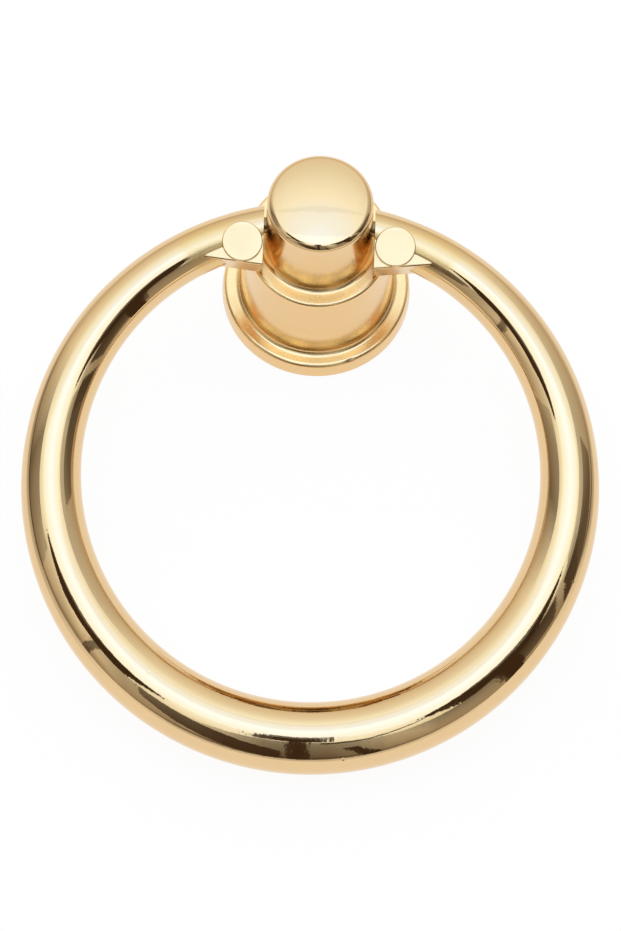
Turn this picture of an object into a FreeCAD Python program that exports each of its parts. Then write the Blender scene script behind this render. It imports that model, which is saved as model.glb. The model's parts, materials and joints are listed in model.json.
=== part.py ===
"""Ring pull handle: a turned-looking cast post with a tapered ring that swings on a cross pin.

Frame: millimetres, +Z along the post and away from the surface it is screwed to.
The origin is the centre of the foot's back face, at the mouth of the screw hole.
The ring swings about X. It is stored lying on the mounting surface, on the -Y side.
"""

import FreeCAD
import Part
import math
import os

from FreeCAD import Vector

# Foot and drum of the post
foot_diameter = 21.6          # across the bottom of the foot
foot_rim_height = 2.3         # side of the foot, up to its rounded edge
foot_side_draft = 0.2         # how much smaller in radius the rim is at its top
foot_edge_radius = 0.55
foot_top_fall = 0.1           # the foot's upper face dips this much towards the drum
drum_base_diameter = 17.6
drum_top_diameter = 16.1
drum_height = 11.4            # foot to shoulder
drum_base_fillet = 0.7
shoulder_edge_radius = 0.4

# Neck and domed head of the post
neck_diameter = 11.8          # at the head
neck_draft = 0.1              # how much larger in radius the neck is at the shoulder
neck_height = 11.05           # shoulder to the middle of the dome
neck_base_fillet = 0.7
head_edge_radius = 1.0
head_dome_rise = 0.75

# Back of the post
screw_hole_diameter = 3.3     # tapping size of an M4 thread
screw_hole_depth = 10.0
drill_point_angle = 118.0
back_recess_depth = 0.8
back_rim_width = 2.3
screw_boss_diameter = 7.6

# Ring: a round bar that is thickest where the fingers pull
ring_outer_diameter = 64.0
bar_diameter_at_grip = 8.0
bar_diameter_at_hinge = 5.2
ring_section_count = 25       # circles that the bar is lofted through
ring_trim_share = 0.2         # share of the half gap that is lofted and then cut away flat

# Cut ends of the ring, beside the neck
end_clearance = 0.2           # between each cut end and the neck
swing_clearance = 0.6         # between the swinging ends and the shoulder
web_projection = 1.9          # how far the flat web stands in from the bar at the cut end
web_length = 8.8              # cut end to where the web's front edge meets the bar's centre line
web_top_drop = 0.25           # web face below the top of the bar
web_bottom_drop = 0.5         # web face above the underside of the bar
web_corner_radius = 0.5       # upright corner beside the neck
web_edge_radius = 0.2         # front edges of both faces
pad_diameter = 4.5            # raised round pad on the web
pad_height = 0.4
pad_edge_radius = 0.12
pad_margin = 0.05             # web left showing beside the pad

# Hinge pin, pressed through the neck and running in both ends of the ring
pin_diameter = 1.8
pin_chamfer = 0.2
pin_setback = 0.5             # pin axis outside the bar's centre line at the cut end
pin_engagement = 2.2          # length of pin in each end of the ring
pin_end_clearance = 0.2
pin_seat_clearance = 0.01     # on the radius, in the neck
pin_running_clearance = 0.05  # on the radius, in the ring

# Heights along the post
drum_base_z = foot_rim_height - foot_top_fall
shoulder_z = drum_base_z + drum_height
head_z = shoulder_z + neck_height
hinge_z = shoulder_z + bar_diameter_at_hinge / 2 + pin_setback + swing_clearance

# Ring geometry, in the plane of the ring with the hinge axis as its X axis
bar_mean_radius = (bar_diameter_at_grip + bar_diameter_at_hinge) / 4
bar_taper = (bar_diameter_at_grip - bar_diameter_at_hinge) / 4
ring_radius = ring_outer_diameter / 2 - bar_mean_radius
end_x = neck_diameter / 2 + neck_draft + end_clearance
hinge_to_centre = math.sqrt(ring_radius**2 - end_x**2) + pin_setback
hinge_to_grip = hinge_to_centre + ring_radius
rest_tilt = math.degrees(math.asin((hinge_z - bar_diameter_at_grip / 2) / hinge_to_grip))

# Webs and pads, in the same plane
web_front = pin_setback + bar_diameter_at_hinge / 2 + web_projection
web_tip_x = end_x + web_length
web_tip_front = hinge_to_centre - math.sqrt(ring_radius**2 - web_tip_x**2)
web_slope = (web_front - web_tip_front) / web_length
web_top = bar_diameter_at_hinge / 2 - web_top_drop
web_bottom = web_bottom_drop - bar_diameter_at_hinge / 2
pad_reach = pad_diameter / 2 + pad_margin
pad_x = end_x + pad_reach
pad_front = web_front - web_slope * pad_reach - pad_reach * math.hypot(1, web_slope)

X_AXIS = Vector(1, 0, 0)
Z_AXIS = Vector(0, 0, 1)
ORIGIN = Vector(0, 0, 0)


def rounded_outline(corners):
    """Closed wire through (point, radius) corners, each rounded by a tangent arc where its radius isn't 0."""
    edges = []
    joints = []
    count = len(corners)
    for i, (point, radius) in enumerate(corners):
        before = (corners[i - 1][0] - point).normalize()
        after = (corners[(i + 1) % count][0] - point).normalize()
        if radius == 0:
            joints.append((point, None, point))
            continue
        half_angle = before.getAngle(after) / 2
        setback = radius / math.tan(half_angle)
        bisector = (before + after).normalize()
        middle = point + bisector * (radius / math.sin(half_angle) - radius)
        joints.append((point + before * setback, middle, point + after * setback))
    for i, (start, middle, end) in enumerate(joints):
        if middle is not None:
            edges.append(Part.Arc(start, middle, end).toShape())
        following = joints[(i + 1) % count][0]
        if end.distanceToPoint(following) > 1e-6:
            edges.append(Part.makeLine(end, following))
    return Part.Wire(edges)


def revolved(corners):
    """Solid of revolution about Z of a rounded outline in the XZ plane."""
    return Part.Face(rounded_outline(corners)).revolve(ORIGIN, Z_AXIS, 360)


def profile_point(radius, height):
    return Vector(radius, 0, height)


def post_body():
    """Foot, drum and neck as one profile turned about the post's axis, with the recessed back."""
    foot_radius = foot_diameter / 2
    neck_radius = neck_diameter / 2
    rim_inner = foot_radius - back_rim_width
    boss_radius = screw_boss_diameter / 2
    return revolved([
        (profile_point(0, 0), 0),
        (profile_point(boss_radius, 0), 0),
        (profile_point(boss_radius, back_recess_depth), 0),
        (profile_point(rim_inner, back_recess_depth), 0),
        (profile_point(rim_inner, 0), 0),
        (profile_point(foot_radius, 0), 0),
        (profile_point(foot_radius - foot_side_draft, foot_rim_height), foot_edge_radius),
        (profile_point(drum_base_diameter / 2, drum_base_z), drum_base_fillet),
        (profile_point(drum_top_diameter / 2, shoulder_z), shoulder_edge_radius),
        (profile_point(neck_radius + neck_draft, shoulder_z), neck_base_fillet),
        (profile_point(neck_radius, head_z), 0),
        (profile_point(0, head_z), 0),
    ])


def domed(body):
    """The body with its head cut to a shallow dome, and the dome's edge rounded."""
    dome_radius = ((neck_diameter / 2) ** 2 + head_dome_rise**2) / (2 * head_dome_rise)
    body = body.common(Part.makeSphere(dome_radius, Vector(0, 0, head_z - dome_radius)))
    rims = [edge for edge in body.Edges if edge.Closed and not edge.Degenerated]
    head_rim = max(rims, key=lambda edge: edge.BoundBox.ZMin)
    return body.makeFillet(head_edge_radius, [head_rim])


def screw_hole():
    """Blind tapping hole with a drill point, from the back face."""
    radius = screw_hole_diameter / 2
    point_height = radius / math.tan(math.radians(drill_point_angle / 2))
    return revolved([
        (profile_point(0, 0), 0),
        (profile_point(radius, 0), 0),
        (profile_point(radius, screw_hole_depth), 0),
        (profile_point(0, screw_hole_depth + point_height), 0),
    ])


def cross_cylinder(radius, x_start, x_end, height):
    return Part.makeCylinder(radius, x_end - x_start, Vector(x_start, 0, height), X_AXIS)


def make_post():
    reach = neck_diameter
    pin_seat = cross_cylinder(pin_diameter / 2 + pin_seat_clearance, -reach, reach, hinge_z)
    return domed(post_body()).cut([screw_hole(), pin_seat])


def bar_section(angle):
    """Round section of the bar; angle 0 is the side nearest the hinge, 180 the grip."""
    radius = bar_mean_radius - bar_taper * math.cos(math.radians(angle))
    circle = Part.makeCircle(radius, Vector(0, ring_radius, 0), X_AXIS)
    circle.rotate(ORIGIN, Z_AXIS, -angle)
    circle.translate(Vector(0, -hinge_to_centre, 0))
    return Part.Wire(circle)


def tapered_bar():
    """Open ring of round bar, cut flat on both sides of the neck."""
    outermost = ring_radius + bar_mean_radius
    first = math.degrees(math.asin((1 - ring_trim_share) * end_x / outermost))
    step = (360 - 2 * first) / (ring_section_count - 1)
    bar = Part.makeLoft([bar_section(first + i * step) for i in range(ring_section_count)], True)
    gap = Part.makeBox(2 * end_x, hinge_to_centre, ring_radius)
    gap.translate(Vector(-end_x, -hinge_to_centre / 2, -ring_radius / 2))
    return bar.cut(gap)


def web(side):
    """Flat web that fills the corner between the bar and a nearly straight front edge."""
    outline = rounded_outline([
        (Vector(side * end_x, -pin_setback, web_bottom), 0),
        (Vector(side * end_x, -web_front, web_bottom), web_corner_radius),
        (Vector(side * web_tip_x, -web_tip_front, web_bottom), 0),
    ])
    solid = Part.Face(outline).extrude(Vector(0, 0, web_top - web_bottom))
    front = [edge for edge in solid.Edges if edge.CenterOfMass.y < -web_tip_front]
    level = [edge for edge in front if edge.BoundBox.ZLength < web_edge_radius]
    return solid.makeFillet(web_edge_radius, level)


def pad(side):
    """Round pad with a softened edge, raised above the web."""
    radius = pad_diameter / 2
    top = web_top + pad_height
    solid = revolved([
        (profile_point(0, 0), 0),
        (profile_point(radius, 0), 0),
        (profile_point(radius, top), pad_edge_radius),
        (profile_point(0, top), 0),
    ])
    solid.translate(Vector(side * pad_x, -pad_front, 0))
    return solid


def make_ring():
    bore_radius = pin_diameter / 2 + pin_running_clearance
    bore_end = end_x + pin_engagement + pin_end_clearance
    ends = [shape for side in (-1, 1) for shape in (web(side), pad(side))]
    bores = [cross_cylinder(bore_radius, *span, 0) for span in ((-bore_end, -end_x), (end_x, bore_end))]
    ring = tapered_bar().fuse(ends).cut(bores).removeSplitter()
    ring.rotate(ORIGIN, X_AXIS, rest_tilt)
    ring.translate(Vector(0, 0, hinge_z))
    return ring


def make_hinge_pin():
    """Plain straight pin with chamfered ends."""
    half_length = end_x + pin_engagement
    pin = cross_cylinder(pin_diameter / 2, -half_length, half_length, hinge_z)
    return pin.makeChamfer(pin_chamfer, [edge for edge in pin.Edges if edge.Closed])


def single_solid(shape):
    """The one solid that a boolean result holds."""
    return shape.Solids[0]


os.makedirs("parts", exist_ok=True)
pieces = {"post": make_post(), "ring": make_ring(), "hinge_pin": make_hinge_pin()}
for name, shape in pieces.items():
    single_solid(shape).exportStep(os.path.join("parts", name + ".step"))
    print(name, "solids", len(shape.Solids), "valid", shape.isValid(), "volume", round(shape.Volume, 1))
print("hinge height", round(hinge_z, 3), "rest tilt", round(rest_tilt, 3))
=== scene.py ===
import json
import math

import bmesh
import bpy
from mathutils import Matrix, Vector


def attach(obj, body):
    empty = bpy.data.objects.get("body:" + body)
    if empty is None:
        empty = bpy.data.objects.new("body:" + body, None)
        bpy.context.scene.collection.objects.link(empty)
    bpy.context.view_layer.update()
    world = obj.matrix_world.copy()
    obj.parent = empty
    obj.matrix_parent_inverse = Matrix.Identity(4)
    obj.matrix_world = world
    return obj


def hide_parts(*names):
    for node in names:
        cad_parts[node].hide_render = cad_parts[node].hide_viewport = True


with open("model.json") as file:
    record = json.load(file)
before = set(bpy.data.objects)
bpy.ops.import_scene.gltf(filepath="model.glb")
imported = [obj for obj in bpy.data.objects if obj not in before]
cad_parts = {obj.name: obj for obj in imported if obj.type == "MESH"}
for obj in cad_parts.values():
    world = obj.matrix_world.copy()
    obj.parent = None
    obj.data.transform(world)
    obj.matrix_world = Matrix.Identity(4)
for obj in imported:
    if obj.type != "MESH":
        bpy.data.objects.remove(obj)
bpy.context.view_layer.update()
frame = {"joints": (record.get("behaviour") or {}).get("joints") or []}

# Post
# One zinc casting, turned-looking: foot, tapered drum, shoulder, and a neck with a shallow domed head.
# Its back is recessed round a boss that is tapped M4 for the mounting screw.
# It is polished and gold plated all over, except that the recess keeps its cast grain.
foot_radius = 0.0108
foot_top_radius = 0.0106
foot_rim_height = 0.0023
drum_base_radius = 0.0088
drum_base_height = 0.0022
drum_top_radius = 0.00805
shoulder_height = 0.0136
neck_base_radius = 0.006
neck_radius = 0.0059
head_height = 0.02465
dome_radius = 0.02358
recess_depth = 0.0008
rim_inner_radius = 0.0085
boss_radius = 0.0038
screw_hole_radius = 0.00165
screw_hole_depth = 0.01
drill_point_top = 0.01099
thread_pitch = 0.0007
thread_depth = 0.00035
cross_hole_radius = 0.00091
hinge_height = frame["joints"][0]["pos_m"][2]

post_mesh = bmesh.new()
crown = post_mesh.verts.new((0, 0, head_height))
dome_centre = Vector((0, 0, head_height - dome_radius))
dome_edge_angle = math.asin(neck_radius / dome_radius)
bmesh.ops.spin(
    post_mesh,
    geom=[crown],
    cent=dome_centre,
    axis=(0, 1, 0),
    angle=0.74 * dome_edge_angle,
    steps=16,
)
dome_end = max(post_mesh.verts, key=lambda vert: vert.co.x)
dome_rim = dome_centre + Vector((neck_radius, 0, dome_radius * math.cos(dome_edge_angle)))

# Each corner of the outline is (radius, height, rounding).
post_corners = [
    (dome_rim.x, dome_rim.z, 0.001),
    (neck_base_radius, shoulder_height, 0.0007),
    (drum_top_radius, shoulder_height, 0.0004),
    (drum_base_radius, drum_base_height, 0.0007),
    (foot_top_radius, foot_rim_height, 0.00055),
    (foot_radius, 0, 0.00012),
    (rim_inner_radius, 0, 0.00015),
    (0.0083, recess_depth, 0.0003),
    (0.004, recess_depth, 0.0003),
    (boss_radius, 0, 0.00015),
    (0.0021, 0, 0),
    (screw_hole_radius, 0.00045, 0),
    (screw_hole_radius, screw_hole_depth, 0),
    (0, drill_point_top, 0),
]
outline = [dome_end]
for radius, height, rounding in post_corners:
    corner = post_mesh.verts.new((radius, 0, height))
    post_mesh.edges.new((outline[-1], corner))
    outline.append(corner)

screw_wall = post_mesh.edges.get((outline[-3], outline[-2]))
bmesh.ops.subdivide_edges(post_mesh, edges=[screw_wall], cuts=108)


def round_corner(mesh, corner, rounding, segments):
    """Rounds one corner of an outline to a tangent arc."""
    arms = [(edge.other_vert(corner).co - corner.co).normalized() for edge in corner.link_edges]
    setback = rounding / math.tan(arms[0].angle(arms[1]) / 2)
    bmesh.ops.bevel(
        mesh,
        geom=[corner],
        offset=setback,
        offset_type="OFFSET",
        segments=segments,
        profile=0.5,
        affect="VERTICES",
        material=-1,
    )


for radius, height, rounding in post_corners:
    if rounding:
        place = Vector((radius, 0, height))
        corner = min(post_mesh.verts, key=lambda vert: (vert.co - place).length)
        round_corner(post_mesh, corner, rounding, 12 if rounding > 0.0003 else 6)

# Long straight runs are divided, so that the polish stays true along them.
for edge in list(post_mesh.edges):
    if edge.calc_length() > 0.0008:
        bmesh.ops.subdivide_edges(post_mesh, edges=[edge], cuts=int(edge.calc_length() / 0.0005))

bmesh.ops.spin(
    post_mesh,
    geom=post_mesh.verts[:] + post_mesh.edges[:],
    cent=(0, 0, 0),
    axis=(0, 0, 1),
    angle=2 * math.pi,
    steps=180,
    use_merge=True,
)
bmesh.ops.remove_doubles(post_mesh, verts=post_mesh.verts[:], dist=0.0000005)
bmesh.ops.recalc_face_normals(post_mesh, faces=post_mesh.faces[:])

# The M4 thread is cut outwards from the tapping hole.
for vert in post_mesh.verts:
    reach = math.hypot(vert.co.x, vert.co.y)
    if abs(reach - screw_hole_radius) < 0.00001 and 0.0005 < vert.co.z < 0.0091:
        turn = (vert.co.z / thread_pitch - math.atan2(vert.co.y, vert.co.x) / (2 * math.pi)) % 1
        depth = thread_depth * min(1, 2.6 * min(turn, 1 - turn))
        vert.co.x *= 1 + depth / reach
        vert.co.y *= 1 + depth / reach

# The foot's edge has one small knock.
knock_place = Vector((0.0041, -0.0096, foot_rim_height))
knock_reach = 0.00036
knock_inward = 0.00012
knock_down = 0.00008
for vert in post_mesh.verts:
    nearness = 1 - (vert.co - knock_place).length / knock_reach
    if nearness > 0:
        outward = Vector((vert.co.x, vert.co.y, 0)).normalized()
        vert.co -= nearness * (knock_inward * outward + Vector((0, 0, knock_down)))


def new_piece(name, mesh, material=None):
    """Makes an object of a mesh, which is used up."""
    data = bpy.data.meshes.new(name)
    mesh.to_mesh(data)
    mesh.free()
    piece = bpy.data.objects.new(name, data)
    bpy.context.scene.collection.objects.link(piece)
    if material:
        data.materials.append(material)
    return piece


def combine(piece, tool, operation):
    """Joins the tool to a piece or cuts it away. The tool is used up."""
    change = piece.modifiers.new(operation, "BOOLEAN")
    change.object = tool
    change.operation = operation
    change.solver = "EXACT"
    evaluated = piece.evaluated_get(bpy.context.evaluated_depsgraph_get())
    result = bpy.data.meshes.new_from_object(evaluated)
    piece.modifiers.clear()
    piece.data = result
    bpy.data.objects.remove(tool)


def polish_true(piece, crease_angle):
    """Shades a piece smooth, with creases at the sharper edges."""
    mesh = bmesh.new()
    mesh.from_mesh(piece.data)
    for face in mesh.faces:
        face.smooth = True
    for edge in mesh.edges:
        edge.smooth = len(edge.link_faces) == 2 and edge.calc_face_angle() < crease_angle
    mesh.to_mesh(piece.data)
    mesh.free()
    normals = piece.modifiers.new("true normals", "WEIGHTED_NORMAL")
    normals.keep_sharp = True


def cross_rod(radius, start, end, height, segments):
    """A round rod along X, from start to end."""
    mesh = bmesh.new()
    along_x = Matrix.Translation(((start + end) / 2, 0, height)) @ Matrix.Rotation(math.pi / 2, 4, "Y")
    bmesh.ops.create_cone(
        mesh,
        cap_ends=True,
        segments=segments,
        radius1=radius,
        radius2=radius,
        depth=end - start,
        matrix=along_x,
    )
    return mesh


post = new_piece("post_casting", post_mesh)
cross_drill = cross_rod(cross_hole_radius, -0.008, 0.008, hinge_height, 48)
combine(post, new_piece("cross_drill", cross_drill), "DIFFERENCE")
polish_true(post, math.radians(35))


def buffed_surface():
    """Buffing ripple, hairlines and sparse pits, as a tone mask, a roughness and a height."""
    tree = bpy.data.node_groups.new("buffed surface", "ShaderNodeTree")
    for label, default in (("Roughness", 0.05), ("Hairlines", 0.5), ("Ripple", 0.5), ("Pits", 0.5)):
        socket = tree.interface.new_socket(label, in_out="INPUT", socket_type="NodeSocketFloat")
        socket.default_value = default
    for label in ("Tone", "Roughness", "Height"):
        tree.interface.new_socket(label, in_out="OUTPUT", socket_type="NodeSocketFloat")
    nodes = tree.nodes
    link = tree.links.new
    given = nodes.new("NodeGroupInput")
    result = nodes.new("NodeGroupOutput")
    place = nodes.new("ShaderNodeTexCoord")

    ripple = nodes.new("ShaderNodeTexNoise")
    ripple.inputs["Scale"].default_value = 170
    ripple.inputs["Detail"].default_value = 4
    ripple.inputs["Roughness"].default_value = 0.6
    link(place.outputs["Object"], ripple.inputs["Vector"])

    stretch = nodes.new("ShaderNodeMapping")
    stretch.inputs["Rotation"].default_value = (0.3, 0.2, 0.9)
    stretch.inputs["Scale"].default_value = (260, 4200, 4200)
    link(place.outputs["Object"], stretch.inputs["Vector"])
    hairline = nodes.new("ShaderNodeTexNoise")
    hairline.inputs["Scale"].default_value = 1
    hairline.inputs["Detail"].default_value = 3
    hairline.inputs["Roughness"].default_value = 0.7
    link(stretch.outputs["Vector"], hairline.inputs["Vector"])
    scratch = nodes.new("ShaderNodeMapRange")
    scratch.inputs["From Min"].default_value = 0.62
    scratch.inputs["From Max"].default_value = 0.74
    link(hairline.outputs["Fac"], scratch.inputs["Value"])

    cloud = nodes.new("ShaderNodeTexNoise")
    cloud.inputs["Scale"].default_value = 330
    cloud.inputs["Detail"].default_value = 4
    link(place.outputs["Object"], cloud.inputs["Vector"])

    cell = nodes.new("ShaderNodeTexVoronoi")
    cell.inputs["Scale"].default_value = 650
    link(place.outputs["Object"], cell.inputs["Vector"])
    pit = nodes.new("ShaderNodeMapRange")
    pit.inputs["From Min"].default_value = 0.14
    pit.inputs["From Max"].default_value = 0.04
    link(cell.outputs["Distance"], pit.inputs["Value"])
    pick = nodes.new("ShaderNodeSeparateColor")
    link(cell.outputs["Color"], pick.inputs["Color"])
    rare = nodes.new("ShaderNodeMath")
    rare.operation = "GREATER_THAN"
    rare.inputs[1].default_value = 0.85
    link(pick.outputs["Red"], rare.inputs[0])
    pits = nodes.new("ShaderNodeMath")
    pits.operation = "MULTIPLY"
    link(pit.outputs["Result"], pits.inputs[0])
    link(rare.outputs["Value"], pits.inputs[1])

    def product(first, second):
        node = nodes.new("ShaderNodeMath")
        node.operation = "MULTIPLY"
        link(first, node.inputs[0])
        link(second, node.inputs[1])
        return node.outputs["Value"]

    def mixed_in(base, amount, factor):
        node = nodes.new("ShaderNodeMath")
        node.operation = "MULTIPLY_ADD"
        link(amount, node.inputs[0])
        node.inputs[1].default_value = factor
        link(base, node.inputs[2])
        return node.outputs["Value"]

    scratches = product(scratch.outputs["Result"], given.outputs["Hairlines"])
    dents = product(pits.outputs["Value"], given.outputs["Pits"])
    waves = product(ripple.outputs["Fac"], given.outputs["Ripple"])
    haze = product(cloud.outputs["Fac"], given.outputs["Roughness"])
    rough = mixed_in(haze, given.outputs["Roughness"], 0.5)
    rough = mixed_in(rough, scratches, 0.05)
    rough = mixed_in(rough, dents, 0.25)
    height = mixed_in(waves, scratches, -0.03)
    height = mixed_in(height, dents, -0.6)
    tone = mixed_in(cloud.outputs["Fac"], dents, -0.5)
    link(tone, result.inputs["Tone"])
    link(rough, result.inputs["Roughness"])
    link(height, result.inputs["Height"])
    return tree


buffing = buffed_surface()


def metal(name, dark_tone, light_tone, roughness, hairlines, ripple, pits):
    """A buffed metal. Its node named buffing holds the surface effects."""
    material = bpy.data.materials.new(name)
    material.use_nodes = True
    tree = material.node_tree
    shader = tree.nodes["Principled BSDF"]
    shader.inputs["Metallic"].default_value = 1
    surface = tree.nodes.new("ShaderNodeGroup")
    surface.name = "buffing"
    surface.node_tree = buffing
    surface.inputs["Roughness"].default_value = roughness
    surface.inputs["Hairlines"].default_value = hairlines
    surface.inputs["Ripple"].default_value = ripple
    surface.inputs["Pits"].default_value = pits
    tint = tree.nodes.new("ShaderNodeMix")
    tint.data_type = "RGBA"
    tint.inputs["A"].default_value = (*dark_tone, 1)
    tint.inputs["B"].default_value = (*light_tone, 1)
    bump = tree.nodes.new("ShaderNodeBump")
    bump.inputs["Strength"].default_value = 1
    bump.inputs["Distance"].default_value = 0.00003
    tree.links.new(surface.outputs["Tone"], tint.inputs["Factor"])
    tree.links.new(tint.outputs["Result"], shader.inputs["Base Color"])
    tree.links.new(surface.outputs["Roughness"], shader.inputs["Roughness"])
    tree.links.new(surface.outputs["Height"], bump.inputs["Height"])
    tree.links.new(bump.outputs["Normal"], shader.inputs["Normal"])
    return material


def lay_over(tree, mask, colour):
    """Lays a colour over a metal's own colour where the mask is 1."""
    base_colour = tree.nodes["Principled BSDF"].inputs["Base Color"]
    cover = tree.nodes.new("ShaderNodeMix")
    cover.data_type = "RGBA"
    cover.inputs["B"].default_value = (*colour, 1)
    tree.links.new(base_colour.links[0].from_socket, cover.inputs["A"])
    tree.links.new(mask, cover.inputs["Factor"])
    tree.links.new(cover.outputs["Result"], base_colour)


def fill_ramp(ramp, stops):
    """Sets the stops of a colour ramp. Each is a position and a colour."""
    elements = ramp.color_ramp.elements
    elements.remove(elements[1])
    for number, (position, colour) in enumerate(stops):
        stop = elements[0] if number == 0 else elements.new(position)
        stop.position = position
        stop.color = (*colour, 1)


side_roughness = 0.2
turned_roughness = 0.26
head_roughness = 0.06
cast_roughness = 0.45
post_gold = metal(
    "post_gold_plate",
    dark_tone=(0.82, 0.54, 0.248),
    light_tone=(0.86, 0.575, 0.274),
    roughness=side_roughness,
    hairlines=0.6,
    ripple=0.5,
    pits=0.15,
)
tree = post_gold.node_tree
place = tree.nodes.new("ShaderNodeTexCoord")
along = tree.nodes.new("ShaderNodeSeparateXYZ")
tree.links.new(place.outputs["Object"], along.inputs["Vector"])

# The buffing wheel reaches the head best. The foot's top and the shoulder keep fine turning marks.
height_share = tree.nodes.new("ShaderNodeMapRange")
height_share.inputs["From Max"].default_value = head_height
tree.links.new(along.outputs["Z"], height_share.inputs["Value"])


def by_height(levels):
    """A ramp along the post. Each level is a height and a value."""
    ramp = tree.nodes.new("ShaderNodeValToRGB")
    fill_ramp(ramp, [(height / head_height, (value, value, value)) for height, value in levels])
    tree.links.new(height_share.outputs["Result"], ramp.inputs["Fac"])
    return ramp.outputs["Color"]


reached = by_height([
    (0.0018, side_roughness),
    (0.002, turned_roughness),
    (0.0025, turned_roughness),
    (0.0027, side_roughness),
    (0.0131, side_roughness),
    (0.0133, turned_roughness),
    (0.014, turned_roughness),
    (0.0142, side_roughness),
    (0.0226, side_roughness),
    (0.0238, head_roughness),
])

# Painted reflection: the corners above the foot and the shoulder are painted a deeper orange, standing in
# for gold mirrored from gold across each corner.
# The head is painted paler: a painted highlight for the bright overhead light that it faces.
painted_corner_reflection = by_height([
    (0.0019, 0),
    (0.0021, 1),
    (0.0042, 1),
    (0.0068, 0),
    (0.0131, 0),
    (0.0134, 1),
    (0.016, 1),
    (0.019, 0),
])
painted_head_highlight = by_height([(0.022, 0), (0.0236, 1)])
# Painted reflection, laid over the corners above the foot and the shoulder.
lay_over(tree, painted_corner_reflection, (0.97, 0.685, 0.335))
# Painted highlight: a paler tone on the head.
lay_over(tree, painted_head_highlight, (0.815, 0.58, 0.312))

# The recess in the back keeps its cast grain.
recess_reach = 0.00835
recess_top = 0.001
across = tree.nodes.new("ShaderNodeCombineXYZ")
tree.links.new(along.outputs["X"], across.inputs["X"])
tree.links.new(along.outputs["Y"], across.inputs["Y"])
from_axis = tree.nodes.new("ShaderNodeVectorMath")
from_axis.operation = "LENGTH"
tree.links.new(across.outputs["Vector"], from_axis.inputs[0])
inside_rim = tree.nodes.new("ShaderNodeMath")
inside_rim.operation = "LESS_THAN"
inside_rim.inputs[1].default_value = recess_reach
tree.links.new(from_axis.outputs["Value"], inside_rim.inputs[0])
at_back = tree.nodes.new("ShaderNodeMath")
at_back.operation = "LESS_THAN"
at_back.inputs[1].default_value = recess_top
tree.links.new(along.outputs["Z"], at_back.inputs[0])
in_recess = tree.nodes.new("ShaderNodeMath")
in_recess.operation = "MULTIPLY"
tree.links.new(inside_rim.outputs["Value"], in_recess.inputs[0])
tree.links.new(at_back.outputs["Value"], in_recess.inputs[1])
finish = tree.nodes.new("ShaderNodeMix")
finish.inputs["B"].default_value = cast_roughness
tree.links.new(in_recess.outputs["Value"], finish.inputs["Factor"])
tree.links.new(reached, finish.inputs["A"])
tree.links.new(finish.outputs["Result"], tree.nodes["buffing"].inputs["Roughness"])
post.data.materials.clear()
post.data.materials.append(post_gold)
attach(post, "post")
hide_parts("post")

# Hinge pin
# A plain ground steel pin with chamfered ends, pressed through the neck.
# Its two ends run in blind holes in the ring. It only shows in the narrow gaps beside the neck,
# where it is painted a warm brown: painted shade, and a painted reflection of the gold around it, in place
# of the steel's own grey.
pin_radius = 0.0009
pin_half_length = 0.0084
pin_mesh = cross_rod(pin_radius, -pin_half_length, pin_half_length, hinge_height, 48)
pin_rims = [edge for edge in pin_mesh.edges if abs(edge.verts[0].co.x - edge.verts[1].co.x) < 0.0001]
bmesh.ops.bevel(
    pin_mesh,
    geom=pin_rims,
    offset=0.0002,
    segments=2,
    profile=0.5,
    affect="EDGES",
    material=-1,
)
# Painted shade: the steel pin is coloured a warm brown for the shaded gap it sits in.
pin_painted_shade = metal(
    "pin_ground_steel_painted_shade",
    dark_tone=(0.36, 0.22, 0.1),
    light_tone=(0.44, 0.28, 0.13),
    roughness=0.28,
    hairlines=1,
    ripple=0.2,
    pits=0.3,
)
pin = new_piece("steel_hinge_pin", pin_mesh, pin_painted_shade)
polish_true(pin, math.radians(30))
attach(pin, "post")
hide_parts("hinge_pin")

# Ring
# One casting: an open ring of round bar, thicker at the grip, cut flat on both sides of the neck.
# Each end has a flat web in its inner corner with a raised round pad, and a blind hole for the pin.
ring_radius = 0.0287
bar_mean_radius = 0.0033
bar_taper = 0.0007
end_x = 0.0062
pin_setback = 0.0005
end_hole_radius = 0.00095
end_hole_reach = 0.0086
hinge_to_centre = math.sqrt(ring_radius**2 - end_x**2) + pin_setback
rest_tilt = math.asin((hinge_height - bar_mean_radius - bar_taper) / (hinge_to_centre + ring_radius))
ring_centre = Vector((0, -hinge_to_centre, 0))

ring_mesh = bmesh.new()
gap_angle = math.radians(9)
bmesh.ops.create_circle(
    ring_mesh,
    cap_ends=False,
    segments=72,
    radius=bar_mean_radius,
    matrix=Matrix.Translation(ring_centre)
    @ Matrix.Rotation(-gap_angle, 4, "Z")
    @ Matrix.Translation((0, ring_radius, 0))
    @ Matrix.Rotation(math.pi / 2, 4, "Y"),
)
bmesh.ops.spin(
    ring_mesh,
    geom=ring_mesh.verts[:] + ring_mesh.edges[:],
    cent=ring_centre,
    axis=(0, 0, -1),
    angle=2 * math.pi - 2 * gap_angle,
    steps=320,
)
for vert in ring_mesh.verts:
    flat = (vert.co - ring_centre) * Vector((1, 1, 0))
    middle = ring_centre + ring_radius * flat.normalized()
    towards_hinge = flat.normalized().y
    vert.co = middle + (vert.co - middle) * (1 - bar_taper / bar_mean_radius * towards_hinge)
open_ends = [edge for edge in ring_mesh.edges if edge.is_boundary]
bmesh.ops.holes_fill(ring_mesh, edges=open_ends, sides=0)
bmesh.ops.recalc_face_normals(ring_mesh, faces=ring_mesh.faces[:])
ring = new_piece("ring_casting", ring_mesh)

web_front = 0.005
web_tip_x = 0.015
web_tip_front = hinge_to_centre - math.sqrt(ring_radius**2 - web_tip_x**2)
web_slope = (web_front - web_tip_front) / (web_tip_x - end_x)
web_top = 0.00235
web_bottom = -0.0021
trimmed_x = end_x - 0.0012

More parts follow.
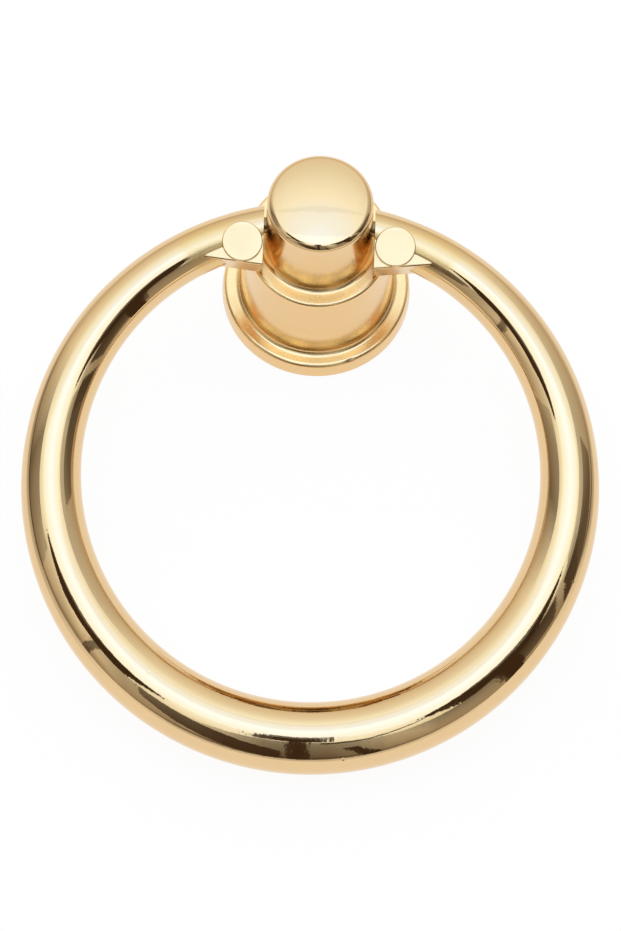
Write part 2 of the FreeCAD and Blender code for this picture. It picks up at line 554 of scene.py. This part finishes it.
webs_mesh = bmesh.new()
for side in (-1, 1):
    corners = [
        webs_mesh.verts.new((side * trimmed_x, -pin_setback, web_bottom)),
        webs_mesh.verts.new((side * trimmed_x, -web_front - web_slope * (end_x - trimmed_x), web_bottom)),
        webs_mesh.verts.new((side * web_tip_x, -web_tip_front, web_bottom)),
    ]
    floor_face = webs_mesh.faces.new(corners)
    raised = bmesh.ops.extrude_face_region(webs_mesh, geom=[floor_face])["geom"]
    raised_verts = [item for item in raised if isinstance(item, bmesh.types.BMVert)]
    bmesh.ops.translate(webs_mesh, verts=raised_verts, vec=(0, 0, web_top - web_bottom))
bmesh.ops.recalc_face_normals(webs_mesh, faces=webs_mesh.faces[:])
front_edges = [
    edge
    for edge in webs_mesh.edges
    if abs(edge.verts[0].co.z - edge.verts[1].co.z) < 0.0001
    and max(vert.co.y for vert in edge.verts) < -0.001
]
bmesh.ops.bevel(
    webs_mesh,
    geom=front_edges,
    offset=0.0002,
    segments=5,
    profile=0.5,
    affect="EDGES",
    material=-1,
)
combine(ring, new_piece("webs", webs_mesh), "UNION")

pad_radius = 0.00225
pad_margin = 0.00005
pad_height = 0.0004
pad_reach = pad_radius + pad_margin
pad_x = end_x + pad_reach
pad_front = web_front - web_slope * pad_reach - pad_reach * math.hypot(1, web_slope)
pad_top = web_top + pad_height
pads_mesh = bmesh.new()
for side in (-1, 1):
    bmesh.ops.create_cone(
        pads_mesh,
        cap_ends=True,
        segments=96,
        radius1=pad_radius,
        radius2=pad_radius,
        depth=pad_top,
        matrix=Matrix.Translation((side * pad_x, -pad_front, pad_top / 2)),
    )
pad_rims = [edge for edge in pads_mesh.edges if min(vert.co.z for vert in edge.verts) > web_top]
bmesh.ops.bevel(
    pads_mesh,
    geom=pad_rims,
    offset=0.00012,
    segments=5,
    profile=0.5,
    affect="EDGES",
    material=-1,
)
combine(ring, new_piece("pads", pads_mesh), "UNION")

# Both ends are trimmed flat, clear of the neck, and then drilled for the pin.
trim_mesh = bmesh.new()
bmesh.ops.create_cube(
    trim_mesh,
    size=1,
    matrix=Matrix.Diagonal((2 * end_x, 0.03, 0.03, 1)),
)
combine(ring, new_piece("end_trim", trim_mesh), "DIFFERENCE")
for side in (-1, 1):
    drill = cross_rod(end_hole_radius, *sorted((side * 0.005, side * end_hole_reach)), 0, 48)
    combine(ring, new_piece("end_drill", drill), "DIFFERENCE")
ring.data.transform(Matrix.Translation((0, 0, hinge_height)) @ Matrix.Rotation(rest_tilt, 4, "X"))
polish_true(ring, math.radians(30))

bar_roughness = 0.05
web_roughness = 0.22
ring_gold = metal(
    "ring_gold_plate",
    dark_tone=(0.785, 0.553, 0.294),
    light_tone=(0.82, 0.588, 0.318),
    roughness=bar_roughness,
    hairlines=0.5,
    ripple=0.5,
    pits=0,
)

# The grip is more rippled and pitted than the rest of the bar.
wear_start_y = -0.028
wear_full_y = -0.052
tree = ring_gold.node_tree
ring_buffing = tree.nodes["buffing"]
place = tree.nodes.new("ShaderNodeTexCoord")
along = tree.nodes.new("ShaderNodeSeparateXYZ")
tree.links.new(place.outputs["Object"], along.inputs["Vector"])
for effect, new_amount, worn_amount in (("Ripple", 0.5, 1.2), ("Pits", 0, 1)):
    wear = tree.nodes.new("ShaderNodeMapRange")
    wear.inputs["From Min"].default_value = wear_start_y
    wear.inputs["From Max"].default_value = wear_full_y
    wear.inputs["To Min"].default_value = new_amount
    wear.inputs["To Max"].default_value = worn_amount
    tree.links.new(along.outputs["Y"], wear.inputs["Value"])
    tree.links.new(wear.outputs["Result"], ring_buffing.inputs[effect])

# The cast webs and pads have a softer shine than the buffed bar. They are also painted a deeper gold, a
# painted reflection of the gold post beside them.
either_side = tree.nodes.new("ShaderNodeVectorMath")
either_side.operation = "ABSOLUTE"
tree.links.new(place.outputs["Object"], either_side.inputs[0])
from_flat = tree.nodes.new("ShaderNodeVectorMath")
from_flat.operation = "SUBTRACT"
from_flat.inputs[1].default_value = (0.0095, 0.0036, 0.0182)
tree.links.new(either_side.outputs["Vector"], from_flat.inputs[0])
long_shape = tree.nodes.new("ShaderNodeVectorMath")
long_shape.operation = "MULTIPLY"
long_shape.inputs[1].default_value = (0.45, 1, 0.55)
tree.links.new(from_flat.outputs["Vector"], long_shape.inputs[0])
reach = tree.nodes.new("ShaderNodeVectorMath")
reach.operation = "LENGTH"
tree.links.new(long_shape.outputs["Vector"], reach.inputs[0])
at_flat = tree.nodes.new("ShaderNodeMapRange")
at_flat.inputs["From Min"].default_value = 0.0031
at_flat.inputs["From Max"].default_value = 0.0025
tree.links.new(reach.outputs["Value"], at_flat.inputs["Value"])
# Painted reflection: a deeper gold over the webs and pads next to the neck.
lay_over(tree, at_flat.outputs["Result"], (0.81, 0.56, 0.262))
soft_shine = tree.nodes.new("ShaderNodeMapRange")
soft_shine.inputs["To Min"].default_value = bar_roughness
soft_shine.inputs["To Max"].default_value = web_roughness
tree.links.new(at_flat.outputs["Result"], soft_shine.inputs["Value"])
tree.links.new(soft_shine.outputs["Result"], ring_buffing.inputs["Roughness"])
ring.data.materials.clear()
ring.data.materials.append(ring_gold)
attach(ring, "ring")
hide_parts("ring")

# Table
# A plain white table top that stays white to the camera and in the polish, and keeps a faint shadow.
# It lies a hair below the foot, so that the two faces don't share a plane.
table_drop = 0.00002
table_mesh = bmesh.new()
bmesh.ops.create_grid(
    table_mesh,
    x_segments=1,
    y_segments=1,
    size=2.5,
    matrix=Matrix.Translation((0, 0, -table_drop)),
)
table_white = bpy.data.materials.new("table_white")
table_white.use_nodes = True
tree = table_white.node_tree
tree.nodes.remove(tree.nodes["Principled BSDF"])
matt = tree.nodes.new("ShaderNodeBsdfDiffuse")
matt.inputs["Color"].default_value = (0.9, 0.8, 0.73, 1)
glow = tree.nodes.new("ShaderNodeEmission")
glow.inputs["Strength"].default_value = 1.04
path = tree.nodes.new("ShaderNodeLightPath")
seen = tree.nodes.new("ShaderNodeMath")
seen.operation = "MAXIMUM"
seen_through = tree.nodes.new("ShaderNodeMath")
seen_through.operation = "MAXIMUM"
share = tree.nodes.new("ShaderNodeMath")
share.operation = "MULTIPLY"
share.inputs[1].default_value = 0.9
blend = tree.nodes.new("ShaderNodeMixShader")
tree.links.new(path.outputs["Is Camera Ray"], seen.inputs[0])
tree.links.new(path.outputs["Is Glossy Ray"], seen.inputs[1])
tree.links.new(seen.outputs["Value"], seen_through.inputs[0])
tree.links.new(path.outputs["Is Transmission Ray"], seen_through.inputs[1])
tree.links.new(seen_through.outputs["Value"], share.inputs[0])
tree.links.new(share.outputs["Value"], blend.inputs["Fac"])
tree.links.new(matt.outputs["BSDF"], blend.inputs[1])
tree.links.new(glow.outputs["Emission"], blend.inputs[2])
tree.links.new(blend.outputs["Shader"], tree.nodes["Material Output"].inputs["Surface"])
table = new_piece("table", table_mesh, table_white)

# Studio light
# A pale room, cool and brightest overhead and warmer towards the table.
# Dark lamp heads, stands and side walls stand round the near side, for the polish to mirror.
# Low cards stand close to the ring.
world = bpy.data.worlds.new("studio")
bpy.context.scene.world = world
world.use_nodes = True
tree = world.node_tree
direction = tree.nodes.new("ShaderNodeTexCoord")
split = tree.nodes.new("ShaderNodeSeparateXYZ")
room = tree.nodes.new("ShaderNodeValToRGB")
room_strength = 2.6
room_levels = [
    (0.0, (0.64, 0.58, 0.49)),
    (0.26, (0.77, 0.73, 0.64)),
    (0.42, (0.86, 0.85, 0.79)),
    (0.574, (0.92, 0.93, 0.9)),
    (0.731, (0.98, 1.06, 1.07)),
    (0.891, (1.18, 1.37, 1.57)),
    (0.982, (1.16, 1.5, 2.2)),
    (1.0, (1.18, 1.6, 2.55)),
]
fill_ramp(room, [(height, [channel / room_strength for channel in level]) for height, level in room_levels])
tree.links.new(direction.outputs["Generated"], split.inputs["Vector"])
tree.links.new(split.outputs["Z"], room.inputs["Fac"])
tree.links.new(room.outputs["Color"], tree.nodes["Background"].inputs["Color"])
tree.nodes["Background"].inputs["Strength"].default_value = room_strength

soft_box = bpy.data.objects.new("soft_box", bpy.data.lights.new("soft_box", "AREA"))
bpy.context.scene.collection.objects.link(soft_box)
soft_box.location = (0, -0.2, 1)
soft_box.data.shape = "RECTANGLE"
soft_box.data.size = 1.06
soft_box.data.size_y = 0.46
soft_box.data.color = (0.6, 0.78, 1)
soft_box.data.energy = 0.32

studio_dark = bpy.data.materials.new("studio_dark")
studio_dark.use_nodes = True
tree = studio_dark.node_tree
tree.nodes.remove(tree.nodes["Principled BSDF"])
brown = tree.nodes.new("ShaderNodeEmission")
brown.inputs["Color"].default_value = (0.052, 0.032, 0.019, 1)
clear = tree.nodes.new("ShaderNodeBsdfTransparent")
shade = tree.nodes.new("ShaderNodeAttribute")
shade.attribute_name = "shade"
blend = tree.nodes.new("ShaderNodeMixShader")
tree.links.new(shade.outputs["Fac"], blend.inputs["Fac"])
tree.links.new(clear.outputs["BSDF"], blend.inputs[1])
tree.links.new(brown.outputs["Emission"], blend.inputs[2])
tree.links.new(blend.outputs["Shader"], tree.nodes["Material Output"].inputs["Surface"])


def studio_card(name, distance, columns):
    """A strip of card. Each column is a lower and an upper point, as azimuth, elevation and shade."""
    mesh = bmesh.new()
    layer = mesh.verts.layers.float.new("shade")
    previous = None
    for column in columns:
        pair = []
        for azimuth, elevation, depth in column:
            raised = Matrix.Rotation(math.radians(elevation), 3, "X") @ Vector((0, distance, 0))
            vert = mesh.verts.new(Matrix.Rotation(-math.radians(azimuth), 3, "Z") @ raised)
            vert[layer] = depth
            pair.append(vert)
        if previous:
            mesh.faces.new((*previous, *reversed(pair)))
        previous = pair
    card = new_piece(name, mesh, studio_dark)
    card.visible_camera = False


studio_card("lamp_head_right", 1.4, [
    ((112, 55, 1), (112, 60, 1)),
    ((122, 41, 1), (124, 62, 1)),
    ((145, 41, 1), (145, 66, 1)),
    ((155, 58, 1), (156, 62, 1)),
])
studio_card("lamp_stand_right", 1.45, [((123, 0, 1), (130, 45, 1)), ((129, 0, 1), (136, 45, 1))])
studio_card("lamp_case_right", 1.5, [((112, 8, 0.75), (114, 42, 0.95)), ((132, 12, 0.65), (137, 43, 0.9))])
studio_card("door_right", 1.55, [((76, 10, 0.7), (78, 40, 0.5)), ((108, 5, 0.8), (110, 40, 0.92))])
studio_card("lamp_head_left", 1.4, [
    ((-152, 58, 1), (-152, 61, 1)),
    ((-140, 42, 1), (-138, 62, 1)),
    ((-118, 41, 1), (-121, 62, 1)),
    ((-107, 53, 1), (-108, 58, 1)),
])
studio_card("lamp_stand_left", 1.45, [
    ((-125.5, 0, 0.8), (-133.5, 46, 0.8)),
    ((-123, 0, 0.8), (-131, 46, 0.8)),
])
studio_card("camera_column", 1.4, [((178, 0, 1), (178, 62, 1)), ((182.5, 0, 1), (182.5, 62, 1))])
studio_card("camera_head", 1.42, [
    ((174, 57, 1), (174, 71, 1)),
    ((184, 57, 1), (184, 73, 1)),
    ((190, 56, 0.9), (190, 61, 0.9)),
])
studio_card("camera_leg_right", 1.4, [((161, 0, 1), (168, 34, 1)), ((166, 0, 1), (171, 34, 1))])
studio_card("camera_brace", 1.4, [
    ((150, 57, 0.8), (150, 59, 0.8)),
    ((165, 49, 0.9), (165, 53, 0.9)),
    ((175, 50, 0.9), (175, 55, 0.9)),
])
studio_card("equipment_case", 1.45, [
    ((184, 0, 0.95), (184, 26, 0.95)),
    ((197, 5, 0.95), (197, 41, 0.95)),
    ((208, 15, 0.9), (208, 46, 0.85)),
    ((217, 26, 0.8), (217, 44, 0.7)),
])
studio_card("panel_seam", 1.2, [
    ((-65, 50, 0), (-65, 52.5, 0)),
    ((-50, 61, 0.08), (-50, 63.5, 0.08)),
    ((-30, 67, 0.1), (-30, 70, 0.1)),
    ((-15, 69, 0.1), (-15, 72.5, 0.1)),
    ((0, 69.5, 0.1), (0, 73.5, 0.1)),
    ((15, 69, 0.1), (15, 72.5, 0.1)),
    ((30, 67, 0.1), (30, 70, 0.1)),
    ((50, 61, 0.08), (50, 63.5, 0.08)),
    ((65, 50, 0), (65, 52.5, 0)),
])
studio_card("wall_left", 1.6, [
    ((-104, 0, 0.5), (-107, 42, 0.4)),
    ((-93, 0, 0.65), (-96, 46, 0.65)),
    ((-80, 0, 0.82), (-83, 50, 0.72)),
    ((-68, 0, 0.4), (-72, 50, 0.3)),
    ((-55, 0, 0), (-62, 50, 0)),
])
studio_card("wall_right", 1.65, [
    ((35, 0, 0), (35, 45, 0)),
    ((72, 0, 0.35), (75, 54, 0.45)),
    ((108, 0, 0.5), (108, 56, 0.45)),
])
studio_card("wall_near", 1.7, [
    ((100, 0, 0.4), (100, 50, 0.2)),
    ((130, 0, 0.4), (130, 42, 0.8)),
    ((148, 0, 0.35), (148, 42, 0.8)),
    ((160, 0, 0.55), (160, 46, 0.45)),
    ((174, 0, 0.85), (174, 56, 0.75)),
    ((187, 0, 0.85), (187, 56, 0.75)),
    ((205, 0, 0.5), (205, 44, 0.2)),
    ((222, 0, 0.4), (222, 43, 0.5)),
    ((236, 0, 0.45), (236, 38, 0.05)),
    ((255, 0, 0.3), (255, 50, 0.1)),
])

# Low cards close by narrow the table's glow along the ring's outer edge.
studio_card("low_card_left", 0.075, [
    ((-150, 1, 0), (-150, 11, 0)),
    ((-130, 1, 0.25), (-130, 11, 0.55)),
    ((-110, 1, 0.3), (-110, 12, 0.7)),
    ((-85, 1, 0.35), (-85, 13, 0.85)),
    ((-70, 1, 0.15), (-70, 12, 0.5)),
    ((-45, 1, 0), (-45, 11, 0)),
])
studio_card("low_card_right", 0.075, [
    ((45, 1, 0), (45, 11, 0)),
    ((75, 1, 0.1), (75, 11, 0.4)),
    ((95, 1, 0.25), (95, 12, 0.7)),
    ((115, 1, 0.25), (115, 12, 0.7)),
    ((140, 1, 0), (140, 11, 0)),
])
studio_card("low_card_near", 0.1, [
    ((145, 0.5, 0), (145, 7, 0)),
    ((165, 0.5, 0.2), (165, 7, 0.35)),
    ((180, 0.5, 0.3), (180, 7, 0.5)),
    ((200, 0.5, 0.25), (200, 7, 0.45)),
    ((217, 0.5, 0), (217, 7, 0)),
])

# Camera
# It stands half a metre off on the ring's side and looks steeply down, with a long lens and a slight roll.
elevation = math.radians(68.16)
azimuth = math.radians(1.13)
roll = math.radians(3.1)
camera_distance = 0.5
aim_out = 0.025
aim_height = 0.008
aim_right = 0.000457
outward = Vector((-math.sin(azimuth), -math.cos(azimuth), 0))
towards = math.cos(elevation) * outward + Vector((0, 0, math.sin(elevation)))
level = Vector((math.cos(azimuth), -math.sin(azimuth), 0))
upward = towards.cross(level)
right = math.cos(roll) * level + math.sin(roll) * upward
up = math.cos(roll) * upward - math.sin(roll) * level
aim = aim_out * outward + Vector((0, 0, aim_height)) + aim_right * right
camera_data = bpy.data.cameras.new("camera")
camera_data.sensor_width = 36
camera_data.lens = 173.4
camera = bpy.data.objects.new("camera", camera_data)
bpy.context.scene.collection.objects.link(camera)
facing = Matrix((right, up, towards)).transposed().to_4x4()
camera.matrix_world = Matrix.Translation(aim + camera_distance * towards) @ facing
bpy.context.scene.camera = camera
bpy.context.scene.view_settings.view_transform = "Standard"
